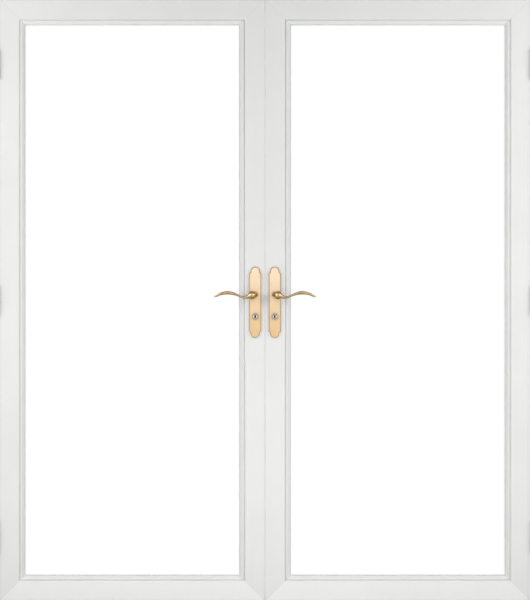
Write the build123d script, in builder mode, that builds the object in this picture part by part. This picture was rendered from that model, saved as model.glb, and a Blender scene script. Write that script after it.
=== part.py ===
from build123d import *
from math import cos, pi, radians, sin, sqrt, tan
import os

os.makedirs("parts", exist_ok=True)

# A pair of full-view french doors in their frame. Millimetres, +Z up, +Y indoors.
# The origin lies under the middle of the sill, at the meeting line of the leaves.
# Left-hand pieces are modelled, and the right-hand ones are their mirror images.

# Leaves and the gaps round them
LEAF_W = 895.0
LEAF_H = 2032.0
LEAF_T = 44.0
MEETING_GAP = 4.0
SIDE_GAP = 4.0
TOP_GAP = 4.0
SILL_GAP = 6.0

# Frame: jambs and head are box sections, the sill is a stepped one
FRAME_DEPTH = 114.0
JAMB_T = 34.0
JAMB_WALL = 2.5
JAMB_EDGE_R = 1.5
STOP_W = 14.0
STOP_GAP = 4.0
STOP_WALL = 2.0
STOP_EDGE_R = 1.5
STOP_FIT = 0.2
SILL_H = 24.0
SILL_STEP_H = 42.0
SILL_NOSE_H = 19.0
SILL_NOSE_W = 12.0
SILL_WALL = 4.0
SILL_EDGE = 3.0
FIXING_R = 4.25
FIXING_DEPTH = 24.0
FIXING_END = 150.0
FIXING_MIDDLE_SPAN = 800.0

# Soft strips that a leaf closes on
STRIP_W = 8.0
STRIP_SET = 1.0
STRIP_CLEAR = 0.4
STRIP_FIT = 0.5

# Leaf bar: hollow tube, glazing leg indoors, clip rib and seal slot
BAR_W = 66.5
BAR_WALL = 2.2
ARRIS_R = 5.0
EDGE_R = 1.5
LEG_W = 19.5
LEG_T = 8.0
LEG_WALL = 2.0
RIB_W = 2.7
RIB_T = 2.0
RIB_DEPTH = 5.5
SLOT_DEPTH_BACK = 5.0
SLOT_MOUTH = 3.0
SLOT_POCKET = 6.0
SLOT_IN = 4.4
SLOT_LIP = 1.6
SLOT_WALL = 1.6
SLOT_BLOCK = 10.0

# Glazing
PANE_T = 4.0
SPACER_T = 12.0
SPACER_W = 10.0
SPACER_SET = 1.0
GASKET_T = 3.0
GASKET_W = 9.0
GASKET_SET = 0.2
BEAD_GAP = 3.0
BEAD_TOP = 1.5
BEAD_NOSE = 1.0
BEAD_FACE = 4.5
BEAD_LIP = 1.0
BEAD_SHORT = 3.2
BEAD_LEG = 2.0
BEAD_BARB = 1.4
BARB_GAP = 0.3
BARB_T = 2.6
BEAD_MITRE_GAP = 0.1
PANE_CLEAR = 0.5

# Corner cleats inside the mitres
CLEAT_SET = 20.0
CLEAT_W = 24.0
CLEAT_REACH = 110.0
CLEAT_CLEAR = 0.3

# Soft seals in the seal slots
SEAL_FIT = 0.2
SEAL_FACE_W = 8.0
SEAL_HAIRLINE = 0.6
SWEEP_FACE_W = 7.0
SWEEP_BASE = 1.2
SWEEP_ROOT_T = 2.4
SWEEP_TIP_T = 1.6
SWEEP_CLEAR = 0.6

# Hinges
HINGE_END = 220.0
HINGE_H = 100.0
HINGE_PLATE_W = 32.0
HINGE_PLATE_T = 1.7
HINGE_OUT = 6.5
HINGE_FRONT = 7.0
KNUCKLE_R = 6.0
KNUCKLE_GAP = 0.4
PIN_R = 3.0
PIN_CLEAR = 0.05
PIN_CAP = 3.0

# Lever sets: plates with lobed ends, bosses for the lever and the cylinder
BACKSET = 31.0
SPINDLE_H = 1034.0
PLATE_W = 40.0
PLATE_UP = 94.0
PLATE_DOWN = 146.0
PLATE_T = 7.0
PLATE_SKIN = 3.0
PLATE_RIM = 4.0
PLATE_HOLLOW_END = 24.0
PLATE_BEVEL = 2.4
LOBE_R = 15.0
LOBE_STEP = 1.0
COLLAR_R = 12.5
COLLAR_H = 7.0
COLLAR_BEVEL = 0.9
CYLINDER_DROP = 74.0
CYLINDER_COLLAR_R = 12.5
CYLINDER_COLLAR_H = 5.0
CYLINDER_COLLAR_BEVEL = 1.2
CYLINDER_R = 9.5
CYLINDER_PROUD = 1.0
CYLINDER_CLEAR = 0.1
CYLINDER_BEVEL = 0.8
PLUG_R = 6.5
PLUG_PROUD = 0.3
KEYWAY_W = 3.4
KEYWAY_H = 7.6
KEYWAY_DEEP = 18.0
KEY_DISH_RIM = 0.6
KEY_DISH_DEEP = 0.8
RUNNING_CLEAR = 0.05
SCREW_UP = 70.0
SCREW_DOWN = 122.0
SCREW_R = 2.5
SCREW_HEAD_R = 4.5
SCREW_HEAD_H = 1.8
SCREW_HEAD_BEVEL = 1.2
SCREW_CLEAR = 0.1
SCREW_BOSS_R = 5.0
SCREW_BOSS_IN = 6.0
SCREW_TIP_GAP = 1.0
HOLE_CLEAR = 0.4

# Levers: shank in the collar, slanted neck, ball elbow and a waved grip
SHANK_R = 8.0
SHANK_SET = 1.0
SHANK_OUT = 22.0
SOCKET_OUT = 19.0
SPINDLE_SIDE = 8.0
SPINDLE_CLEAR = 0.05
SPINDLE_END_GAP = 1.0
NECK_R = 7.2
NECK_SINK = 3.0
ELBOW_R = 13.7
ELBOW_ALONG = 11.5
ELBOW_DROP = 1.7
ELBOW_OUT = 42.0
# The elbow as turned on the neck's axis: places from its centre and radii, over its radius
ELBOW_SHARES = ((-0.85, 0.53), (-0.45, 0.89), (0.0, 1.0), (0.45, 0.89), (0.85, 0.53), (0.98, 0.20))
LEVER_SIDES = 16
GRIP_REACH = 139.0
GRIP_RISE = 7.0
GRIP_THICK = 13.0
GRIP_DEEP = 14.0
GRIP_OUT = 45.0
# Each station of the grip: along its reach, over its rise, and of its thickness and depth
GRIP_SHARES = (
    (0.13, -0.45, 1.30, 1.25),
    (0.20, -1.06, 0.95, 0.95),
    (0.30, -1.22, 0.60, 0.78),
    (0.42, -0.32, 0.58, 0.78),
    (0.56, 0.64, 0.80, 0.90),
    (0.69, 0.91, 0.90, 1.00),
    (0.83, 0.44, 0.70, 0.88),
    (0.93, -0.50, 0.50, 0.66),
    (1.00, -1.08, 0.32, 0.40),
)

# Lock: a pinion on the spindle drives two racked rods to the head and to the sill
FOREND_W = 20.0
FOREND_UP = 53.0
FOREND_DOWN = 120.0
FOREND_CLEAR = 0.2
CASE_W = 58.0
CASE_T = 18.0
CASE_WALL = 2.0
CASE_UP = 45.0
CASE_DOWN = 112.0
TOOTH_MODULE = 2.0
TOOTH_COUNT = 16
TOOTH_THICK_SHARE = 0.42
ADDENDUM_SHARE = 0.9
DEDENDUM_SHARE = 1.25
FLANK_ANGLE = 70.0
TOOTH_SINK = 0.4
PINION_T = 8.0
HUB_R = 8.5
RACK_TEETH = 6
RACK_END = 2.0
ROD_W = 7.0
ROD_T = 6.0
ROD_CLEAR = 0.25
BOLT_R = 5.0
BOLT_L = 70.0
BOLT_SET = 1.0
BOLT_CLEAR = 0.3
BOLT_TIP = 1.2
LEVER_LIFT = 55.0
CAM_REACH = 9.5
CAM_W = 5.0
CAM_T = 8.0
CAM_HUB_R = 5.0
CAM_GAP = 0.5
LUG_T = 3.0
LUG_LAP = 1.9
TAIL_W = 6.0
TAIL_T = 3.0
TAIL_CLEAR = 0.05
TAIL_END_GAP = 1.0
TURN_SHANK_R = 6.0
TURN_COLLAR_R = 11.0
TURN_L = 32.0
TURN_T = 9.0
TURN_H = 14.0
TURN_BEVEL = 2.0
TURN_FLANGE_T = 3.0
TURN_GAP = 0.3

# Keepers
KEEPER_L = 46.0
KEEPER_W = 20.0
KEEPER_T = 2.0
KEEPER_CLEAR = 0.4
KEEPER_HOLE_CLEAR = 1.0

# One overrun serves every cut
OVERRUN = 1.0

# Places worked out from the sizes above
CORNER = (Align.MIN, Align.MIN)
FRONT_Y = -FRAME_DEPTH / 2
MEET_X = -MEETING_GAP / 2
HINGE_X = MEET_X - LEAF_W
JAMB_X = HINGE_X - SIDE_GAP
FRAME_X = JAMB_X - JAMB_T
LEAF_Z = SILL_H + SILL_GAP
LEAF_TOP = LEAF_Z + LEAF_H
HEAD_Z = LEAF_TOP + TOP_GAP
FRAME_H = HEAD_Z + JAMB_T
LEAF_CX = MEET_X - LEAF_W / 2
LEAF_CZ = LEAF_Z + LEAF_H / 2
MID_DEPTH = LEAF_T / 2
MID_Y = FRONT_Y + MID_DEPTH
STOP_DEPTH = LEAF_T + STOP_GAP
STOP_LONG = FRAME_DEPTH - STOP_DEPTH
STRIP_T = STOP_GAP - STRIP_CLEAR
SIGHT_W = BAR_W + LEG_W
BEAD_U = BAR_W + BEAD_GAP
PANE_EDGE = BEAD_U + BEAD_LEG + PANE_CLEAR
LEG_DEPTH = LEAF_T - LEG_T
INNER_PANE_DEPTH = LEG_DEPTH - GASKET_T - PANE_T
SPACER_DEPTH = INNER_PANE_DEPTH - SPACER_T
OUTER_PANE_DEPTH = SPACER_DEPTH - PANE_T
BEAD_BACK = OUTER_PANE_DEPTH - GASKET_T
SPINDLE_X = MEET_X - BACKSET
SPINDLE_Z = LEAF_Z + SPINDLE_H
PLATE_H = PLATE_UP + PLATE_DOWN
PLATE_Z = SPINDLE_Z + (PLATE_UP - PLATE_DOWN) / 2
CYLINDER_Z = SPINDLE_Z - CYLINDER_DROP
SCREW_HEIGHTS = (SPINDLE_Z + SCREW_UP, SPINDLE_Z - SCREW_DOWN)
HINGE_AXIS_X = HINGE_X - HINGE_OUT
HINGE_AXIS_Y = FRONT_Y - HINGE_FRONT
HINGE_HEIGHTS = (LEAF_Z + HINGE_END, LEAF_CZ, LEAF_TOP - HINGE_END)
PITCH_R = TOOTH_MODULE * TOOTH_COUNT / 2
TOOTH_PITCH = 2 * pi * PITCH_R / TOOTH_COUNT
ADDENDUM = ADDENDUM_SHARE * TOOTH_MODULE
DEDENDUM = DEDENDUM_SHARE * TOOTH_MODULE
ROOT_R = PITCH_R - DEDENDUM
THROW = PITCH_R * radians(LEVER_LIFT)
ROD_FLANK = PITCH_R + DEDENDUM
ROD_OFF = ROD_FLANK + ROD_W / 2
UPPER_ROD_X = SPINDLE_X - ROD_OFF
LOWER_ROD_X = SPINDLE_X + ROD_OFF
CASE_DEPTH = MID_DEPTH - CASE_T / 2
CASE_BACK = MID_DEPTH + CASE_T / 2
CASE_H = CASE_UP + CASE_DOWN
FOREND_H = FOREND_UP + FOREND_DOWN
FOREND_Z = SPINDLE_Z + (FOREND_UP - FOREND_DOWN) / 2
FIXING_HEIGHTS = (
    FIXING_END,
    FRAME_H / 2 - FIXING_MIDDLE_SPAN / 2,
    FRAME_H / 2 + FIXING_MIDDLE_SPAN / 2,
    FRAME_H - FIXING_END,
)

# Runs of the four leaf bars: local x goes from the leaf's edge to the glass, local y indoors
HINGE_RUN = Plane(origin=(HINGE_X, FRONT_Y, LEAF_Z), x_dir=(1, 0, 0), z_dir=(0, 0, 1))
MEETING_RUN = Plane(origin=(MEET_X, FRONT_Y, LEAF_TOP), x_dir=(-1, 0, 0), z_dir=(0, 0, -1))
BOTTOM_RUN = Plane(origin=(MEET_X, FRONT_Y, LEAF_Z), x_dir=(0, 0, 1), z_dir=(-1, 0, 0))
TOP_RUN = Plane(origin=(HINGE_X, FRONT_Y, LEAF_TOP), x_dir=(0, 0, -1), z_dir=(1, 0, 0))
RUNS = ((HINGE_RUN, LEAF_H), (MEETING_RUN, LEAF_H), (BOTTOM_RUN, LEAF_W), (TOP_RUN, LEAF_W))
# The meeting edge, and the plane half way through the leaf
EDGE_FACE = Plane(origin=(MEET_X, MID_Y, FOREND_Z), x_dir=(0, 1, 0), z_dir=(1, 0, 0))
LEAF_MIDDLE = Plane.XZ.offset(-MID_Y)


def outward(x, depth, z):
    """Plane at a depth behind the leaf's outside face, facing out of doors, local y up."""
    return Plane(origin=(x, FRONT_Y + depth, z), x_dir=(1, 0, 0), z_dir=(0, -1, 0))


def inward(x, depth, z):
    """The same, facing indoors."""
    return Plane(origin=(x, FRONT_Y + depth, z), x_dir=(-1, 0, 0), z_dir=(0, 1, 0))


def across(x, depth, z):
    """Plane that faces along +X, local x indoors and local y up."""
    return Plane(origin=(x, FRONT_Y + depth, z), x_dir=(0, 1, 0), z_dir=(1, 0, 0))


def write_pair(piece, name):
    """Write a left-hand piece, and its mirror image as the right-hand one."""
    piece.label = f"left_{name}"
    export_step(piece, f"parts/left_{name}.step")
    twin = mirror(piece, about=Plane.YZ)
    twin.label = f"right_{name}"
    export_step(twin, f"parts/right_{name}.step")


def mitres(run, length, gap):
    """The two 45-degree planes that the ends of a run are cut back to."""
    start = Plane(run.origin + run.z_dir * gap, x_dir=run.y_dir, z_dir=run.z_dir - run.x_dir)
    far = run.origin + run.z_dir * (length - gap)
    end = Plane(far, x_dir=run.y_dir, z_dir=-run.z_dir - run.x_dir)
    return start, end


# Jambs: box sections, bored for the screws that fix the frame to the wall
with BuildPart() as jamb:
    with BuildSketch() as section:
        with Locations((FRAME_X, FRONT_Y)):
            Rectangle(JAMB_T, FRAME_DEPTH, align=CORNER)
        fillet(section.vertices(), JAMB_EDGE_R)
        with Locations((FRAME_X + JAMB_WALL, FRONT_Y + JAMB_WALL)):
            Rectangle(JAMB_T - 2 * JAMB_WALL, FRAME_DEPTH - 2 * JAMB_WALL, align=CORNER, mode=Mode.SUBTRACT)
    extrude(amount=FRAME_H)
    with Locations(*[across(JAMB_X, FIXING_DEPTH, height) for height in FIXING_HEIGHTS]):
        Hole(FIXING_R, depth=JAMB_T)
write_pair(jamb.part, "jamb")

# Head: the same box section between the jambs, bored for the two upper bolts
with BuildPart() as head_jamb:
    with BuildSketch(across(JAMB_X, 0, HEAD_Z)) as section:
        Rectangle(FRAME_DEPTH, JAMB_T, align=CORNER)
        fillet(section.vertices(), JAMB_EDGE_R)
        with Locations((JAMB_WALL, JAMB_WALL)):
            Rectangle(FRAME_DEPTH - 2 * JAMB_WALL, JAMB_T - 2 * JAMB_WALL, align=CORNER, mode=Mode.SUBTRACT)
    extrude(amount=-2 * JAMB_X)
    with Locations(*[Plane((x, MID_Y, HEAD_Z), z_dir=(0, 0, -1)) for x in (UPPER_ROD_X, -UPPER_ROD_X)]):
        Hole(BOLT_R + KEEPER_HOLE_CLEAR, depth=JAMB_WALL + OVERRUN)
head_jamb.part.label = "head_jamb"
export_step(head_jamb.part, "parts/head_jamb.step")

# Sill: low in front where the leaves close over it, stepped up behind them
with BuildPart() as sill:
    with BuildSketch(across(JAMB_X, 0, 0)):
        with BuildLine():
            Polyline(
                (0, 0),
                (FRAME_DEPTH, 0),
                (FRAME_DEPTH, SILL_STEP_H - SILL_EDGE),
                (FRAME_DEPTH - SILL_EDGE, SILL_STEP_H),
                (STOP_DEPTH, SILL_STEP_H),
                (STOP_DEPTH, SILL_H),
                (SILL_NOSE_W, SILL_H),
                (0, SILL_NOSE_H),
                close=True,
            )
        make_face()
        with Locations((SILL_WALL, SILL_WALL)):
            Rectangle(STOP_DEPTH - 2 * SILL_WALL, SILL_H - 2 * SILL_WALL, align=CORNER, mode=Mode.SUBTRACT)
        with Locations((STOP_DEPTH, SILL_WALL)):
            Rectangle(STOP_LONG - SILL_WALL, SILL_STEP_H - 2 * SILL_WALL, align=CORNER, mode=Mode.SUBTRACT)
    extrude(amount=-2 * JAMB_X)
    with Locations((LOWER_ROD_X, MID_Y, SILL_H), (-LOWER_ROD_X, MID_Y, SILL_H)):
        Hole(BOLT_R + KEEPER_HOLE_CLEAR, depth=SILL_WALL + OVERRUN)
sill.part.label = "sill"
export_step(sill.part, "parts/sill.step")

# Door stops: hollow strips on both jambs and on the head
with BuildPart() as door_stops:
    with BuildSketch(Plane.XY.offset(SILL_STEP_H)) as section:
        with Locations((JAMB_X, FRONT_Y + STOP_DEPTH)):
            Rectangle(STOP_W, STOP_LONG, align=CORNER)
        fillet(section.vertices().group_by(Axis.X)[-1], STOP_EDGE_R)
        with Locations((JAMB_X + STOP_WALL, FRONT_Y + STOP_DEPTH + STOP_WALL)):
            Rectangle(STOP_W - 2 * STOP_WALL, STOP_LONG - 2 * STOP_WALL, align=CORNER, mode=Mode.SUBTRACT)
    extrude(amount=HEAD_Z - SILL_STEP_H)
    mirror(about=Plane.YZ)
    with BuildSketch(across(JAMB_X + STOP_W + STOP_FIT, STOP_DEPTH, HEAD_Z - STOP_W)) as section:
        Rectangle(STOP_LONG, STOP_W, align=CORNER)
        fillet(section.vertices().group_by(Axis.Y)[0], STOP_EDGE_R)
        with Locations((STOP_WALL, STOP_WALL)):
            Rectangle(STOP_LONG - 2 * STOP_WALL, STOP_W - 2 * STOP_WALL, align=CORNER, mode=Mode.SUBTRACT)
    extrude(amount=-2 * (JAMB_X + STOP_W + STOP_FIT))
door_stops.part.label = "door_stops"
export_step(door_stops.part, "parts/door_stops.step")

# Stop seals: soft strips in front of the stops and of the sill's step
STRIP_X = JAMB_X + STOP_W - STRIP_SET - STRIP_W
STRIP_HEAD_Z = HEAD_Z - STOP_W + STRIP_SET
with BuildPart() as stop_seals:
    with BuildSketch(Plane.XY.offset(SILL_STEP_H)):
        with Locations((STRIP_X, FRONT_Y + STOP_DEPTH - STRIP_T)):
            Rectangle(STRIP_W, STRIP_T, align=CORNER)
    extrude(amount=STRIP_HEAD_Z + STRIP_W - SILL_STEP_H)
    mirror(about=Plane.YZ)
    for height in (STRIP_HEAD_Z, SILL_STEP_H - STRIP_SET - STRIP_W):
        with BuildSketch(across(STRIP_X + STRIP_W + STRIP_FIT, STOP_DEPTH - STRIP_T, height)):
            Rectangle(STRIP_T, STRIP_W, align=CORNER)
        extrude(amount=-2 * (STRIP_X + STRIP_W + STRIP_FIT))
stop_seals.part.label = "stop_seals"
export_step(stop_seals.part, "parts/stop_seals.step")

# Frame halves of the hinges: plate on the jamb, lower knuckle and its fixed pin
with BuildPart() as frame_hinge_leaves:
    for height in HINGE_HEIGHTS:
        with BuildSketch(Plane.XY.offset(height - HINGE_H / 2)):
            with Locations((JAMB_X, FRONT_Y)):
                Rectangle(HINGE_PLATE_T, HINGE_PLATE_W, align=CORNER)
        extrude(amount=HINGE_H)
        with BuildSketch(Plane.XY.offset(height - HINGE_H / 2)):
            with Locations((JAMB_X, HINGE_AXIS_Y)):
                Rectangle(HINGE_PLATE_T, HINGE_FRONT, align=CORNER)
            with Locations((HINGE_AXIS_X, HINGE_AXIS_Y)):
                Circle(KNUCKLE_R)
        extrude(amount=(HINGE_H - KNUCKLE_GAP) / 2)
        with BuildSketch(Plane.XY.offset(height - KNUCKLE_GAP / 2)):
            with Locations((HINGE_AXIS_X, HINGE_AXIS_Y)):
                Circle(PIN_R)
        extrude(amount=HINGE_H / 2 - PIN_CAP)
    mirror(about=Plane.YZ)
frame_hinge_leaves.part.label = "frame_hinge_leaves"
export_step(frame_hinge_leaves.part, "parts/frame_hinge_leaves.step")

# Keepers: plates that take the bolts, one for each leaf in the head, a shared one on the sill
with BuildPart() as bolt_keepers:
    with BuildSketch(Plane.XY.offset(HEAD_Z - KEEPER_T)):
        with Locations((UPPER_ROD_X, MID_Y), (-UPPER_ROD_X, MID_Y)):
            Rectangle(KEEPER_L, KEEPER_W)
            Circle(BOLT_R + KEEPER_CLEAR, mode=Mode.SUBTRACT)
    extrude(amount=KEEPER_T)
    with BuildSketch(Plane.XY.offset(SILL_H)):
        with Locations((0, MID_Y)):
            Rectangle(KEEPER_L - 2 * LOWER_ROD_X, KEEPER_W)
        with Locations((LOWER_ROD_X, MID_Y), (-LOWER_ROD_X, MID_Y)):
            Circle(BOLT_R + KEEPER_CLEAR, mode=Mode.SUBTRACT)
    extrude(amount=KEEPER_T)
bolt_keepers.part.label = "bolt_keepers"
export_step(bolt_keepers.part, "parts/bolt_keepers.step")


def leaf_bar(run, length):
    """One bar of a leaf: the hollow section, run the leaf's full length and mitred."""
    with BuildPart() as bar:
        with BuildSketch(run) as section:
            Rectangle(BAR_W, LEAF_T, align=CORNER)
            fillet(section.vertices().sort_by_distance((BAR_W, 0, 0))[0], ARRIS_R)
            fillet(section.vertices().group_by(Axis.X)[0], EDGE_R)
            with Locations((BAR_W, LEG_DEPTH)):
                Rectangle(LEG_W, LEG_T, align=CORNER)
            with Locations((BAR_W, RIB_DEPTH)):
                Rectangle(RIB_W, RIB_T, align=CORNER)
            with Locations((BAR_WALL, BAR_WALL)):
                Rectangle(BAR_W - 2 * BAR_WALL, LEAF_T - 2 * BAR_WALL, align=CORNER, mode=Mode.SUBTRACT)
            with Locations((BAR_W, LEG_DEPTH + LEG_WALL)):
                Rectangle(LEG_W - LEG_WALL, LEG_T - 2 * LEG_WALL, align=CORNER, mode=Mode.SUBTRACT)
            with Locations((EDGE_R, EDGE_R)):
                Rectangle(SLOT_IN + SLOT_WALL - EDGE_R, SLOT_BLOCK - EDGE_R, align=CORNER)
            with Locations((0, SLOT_DEPTH_BACK - SLOT_MOUTH / 2)):
                Rectangle(SLOT_IN, SLOT_MOUTH, align=CORNER, mode=Mode.SUBTRACT)
            with Locations((SLOT_LIP, SLOT_DEPTH_BACK - SLOT_POCKET / 2)):
                Rectangle(SLOT_IN - SLOT_LIP, SLOT_POCKET, align=CORNER, mode=Mode.SUBTRACT)
        extrude(amount=length)
        for cut in mitres(run, length, 0):
            split(bisect_by=cut, keep=Keep.TOP)
    return bar.part


# Hinge stile
with BuildPart() as hinge_stile:
    add(leaf_bar(HINGE_RUN, LEAF_H))
write_pair(hinge_stile.part, "hinge_stile")

# Meeting stile: bored for the spindle, the cylinder and the plate screws, slotted for the lock
with BuildPart() as meeting_stile:
    add(leaf_bar(MEETING_RUN, LEAF_H))
    with Locations(outward(SPINDLE_X, 0, SPINDLE_Z)):
        Hole(SPINDLE_SIDE / sqrt(2) + HOLE_CLEAR, depth=LEAF_T)
    with Locations(outward(SPINDLE_X, 0, CYLINDER_Z)):
        Hole(CYLINDER_R + HOLE_CLEAR, depth=BAR_WALL + OVERRUN)
    with Locations(inward(SPINDLE_X, LEAF_T, CYLINDER_Z)):
        Hole(TURN_SHANK_R + HOLE_CLEAR, depth=BAR_WALL + OVERRUN)
    with Locations(*[outward(SPINDLE_X, 0, height) for height in SCREW_HEIGHTS]):
        Hole(SCREW_BOSS_R + HOLE_CLEAR, depth=BAR_WALL + OVERRUN)
    with Locations(*[inward(SPINDLE_X, LEAF_T, height) for height in SCREW_HEIGHTS]):
        Hole(SCREW_R + HOLE_CLEAR, depth=BAR_WALL + OVERRUN)
    with BuildSketch(EDGE_FACE):
        Rectangle(FOREND_W + 2 * FOREND_CLEAR, FOREND_H + 2 * FOREND_CLEAR)
    extrude(amount=-BAR_WALL - OVERRUN, mode=Mode.SUBTRACT)
write_pair(meeting_stile.part, "meeting_stile")

# Top rail, bored for the upper bolt
with BuildPart() as top_rail:
    add(leaf_bar(TOP_RUN, LEAF_W))
    with Locations((UPPER_ROD_X, MID_Y, LEAF_TOP)):
        Hole(BOLT_R + BOLT_CLEAR, depth=BAR_WALL + OVERRUN)
write_pair(top_rail.part, "top_rail")

# Bottom rail, bored for the lower bolt
with BuildPart() as bottom_rail:
    add(leaf_bar(BOTTOM_RUN, LEAF_W))
    with Locations(Plane((LOWER_ROD_X, MID_Y, LEAF_Z), z_dir=(0, 0, -1))):
        Hole(BOLT_R + BOLT_CLEAR, depth=BAR_WALL + OVERRUN)
write_pair(bottom_rail.part, "bottom_rail")

# Corner cleats: an angle in each mitre, the upper meeting one bored for the rod
with BuildPart() as corner_cleats:
    with BuildSketch(outward(HINGE_X, LEAF_T - BAR_WALL - CLEAT_CLEAR, LEAF_Z)):
        with BuildLine():
            Polyline(
                (CLEAT_SET, CLEAT_SET),
                (CLEAT_REACH, CLEAT_SET),
                (CLEAT_REACH, CLEAT_SET + CLEAT_W),
                (CLEAT_SET + CLEAT_W, CLEAT_SET + CLEAT_W),
                (CLEAT_SET + CLEAT_W, CLEAT_REACH),
                (CLEAT_SET, CLEAT_REACH),
                close=True,
            )
        make_face()
    extrude(amount=LEAF_T - 2 * BAR_WALL - 2 * CLEAT_CLEAR)
    mirror(about=Plane.YZ.offset(LEAF_CX))
    mirror(about=Plane.XY.offset(LEAF_CZ))
    with Locations((UPPER_ROD_X, MID_Y, LEAF_TOP - CLEAT_SET)):
        Hole(BOLT_R + HOLE_CLEAR, depth=CLEAT_W + OVERRUN)
write_pair(corner_cleats.part, "corner_cleats")

# Double glazing: two panes and the spacer bar between their edges
with BuildPart() as outer_pane:
    with BuildSketch(outward(LEAF_CX, SPACER_DEPTH, LEAF_CZ)):
        Rectangle(LEAF_W - 2 * PANE_EDGE, LEAF_H - 2 * PANE_EDGE)
    extrude(amount=PANE_T)
write_pair(outer_pane.part, "outer_pane")

with BuildPart() as inner_pane:
    with BuildSketch(outward(LEAF_CX, INNER_PANE_DEPTH + PANE_T, LEAF_CZ)):
        Rectangle(LEAF_W - 2 * PANE_EDGE, LEAF_H - 2 * PANE_EDGE)
    extrude(amount=PANE_T)
write_pair(inner_pane.part, "inner_pane")


def leaf_ring(edge, width, depth, thick):
    """A flat rectangular ring inside the leaf, given how far its outer side lies from the edge."""
    with BuildPart() as ring:
        with BuildSketch(outward(LEAF_CX, depth + thick, LEAF_CZ)):
            Rectangle(LEAF_W - 2 * edge, LEAF_H - 2 * edge)
            Rectangle(LEAF_W - 2 * (edge + width), LEAF_H - 2 * (edge + width), mode=Mode.SUBTRACT)
        extrude(amount=thick)
    return ring.part


with BuildPart() as pane_spacer:
    add(leaf_ring(PANE_EDGE + SPACER_SET, SPACER_W, SPACER_DEPTH, SPACER_T))
write_pair(pane_spacer.part, "pane_spacer")

# Glazing gaskets: one between the bead and the glass, seen past the bead, one between the glass and the leg
with BuildPart() as glazing_gaskets:
    for depth in (BEAD_BACK, LEG_DEPTH - GASKET_T):
        add(leaf_ring(SIGHT_W - GASKET_SET - GASKET_W, GASKET_W, depth, GASKET_T))
write_pair(glazing_gaskets.part, "glazing_gaskets")


def glazing_bead(run, length):
    """One mitred bead: sloping face, and a leg whose barb hooks behind the bar's rib."""
    hook = RIB_DEPTH + RIB_T + BARB_GAP
    with BuildPart() as bead:
        with BuildSketch(run):
            with BuildLine():
                Polyline(
                    (BEAD_U, BEAD_TOP + BEAD_NOSE),
                    (BEAD_U + BEAD_NOSE, BEAD_TOP),
                    (BEAD_U + BEAD_FACE, BEAD_TOP),
                    (SIGHT_W - BEAD_SHORT, BEAD_BACK - BEAD_LIP),
                    (SIGHT_W - BEAD_SHORT, BEAD_BACK),
                    (BEAD_U + BEAD_LEG, BEAD_BACK),
                    (BEAD_U + BEAD_LEG, hook + BARB_T),
                    (BEAD_U - BEAD_BARB, hook),
                    (BEAD_U, hook),
                    close=True,
                )
            make_face()
        extrude(amount=length)
        for cut in mitres(run, length, BEAD_MITRE_GAP):
            split(bisect_by=cut, keep=Keep.TOP)
    return bead.part


# Glazing beads: four strips that clip in from outside
with BuildPart() as glazing_beads:
    for run, length in RUNS:
        add(glazing_bead(run, length))
write_pair(glazing_beads.part, "glazing_beads")


def seal_root():
    """The stem and head of a soft seal that slide into the bar's slot."""
    stem = SLOT_MOUTH - 2 * SEAL_FIT
    head = SLOT_POCKET - 2 * SEAL_FIT
    with Locations((0, SLOT_DEPTH_BACK - stem / 2)):
        Rectangle(SLOT_LIP + SEAL_FIT, stem, align=CORNER)
    with Locations((SLOT_LIP + SEAL_FIT, SLOT_DEPTH_BACK - head / 2)):
        Rectangle(SLOT_IN - SLOT_LIP - 2 * SEAL_FIT, head, align=CORNER)


# Edge seal on the meeting stile: the two seals nearly meet in the gap between the leaves
SEAL_PROUD = (MEETING_GAP - SEAL_HAIRLINE) / 2
with BuildPart() as edge_seal:
    with BuildSketch(MEETING_RUN):
        seal_root()
        with Locations((-SEAL_PROUD, SLOT_DEPTH_BACK - SEAL_FACE_W / 2)):
            Rectangle(SEAL_PROUD, SEAL_FACE_W, align=CORNER)
    extrude(amount=LEAF_H)
    for cut in mitres(MEETING_RUN, LEAF_H, 0):
        split(bisect_by=cut, keep=Keep.TOP)
write_pair(edge_seal.part, "edge_seal")

# Sweep: a blade under the bottom rail that wipes the sill
with BuildPart() as bottom_sweep:
    with BuildSketch(BOTTOM_RUN):
        seal_root()
        with Locations((-SWEEP_BASE, SLOT_DEPTH_BACK - SWEEP_FACE_W / 2)):
            Rectangle(SWEEP_BASE, SWEEP_FACE_W, align=CORNER)
        with BuildLine():
            Polyline(
                (-SWEEP_BASE, SLOT_DEPTH_BACK - SWEEP_ROOT_T / 2),
                (-SWEEP_BASE, SLOT_DEPTH_BACK + SWEEP_ROOT_T / 2),
                (SWEEP_CLEAR - SILL_GAP, SLOT_DEPTH_BACK + SWEEP_TIP_T / 2),
                (SWEEP_CLEAR - SILL_GAP, SLOT_DEPTH_BACK - SWEEP_TIP_T / 2),
                close=True,
            )
        make_face()
    extrude(amount=LEAF_W)
    for cut in mitres(BOTTOM_RUN, LEAF_W, 0):
        split(bisect_by=cut, keep=Keep.TOP)
write_pair(bottom_sweep.part, "bottom_sweep")

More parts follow.
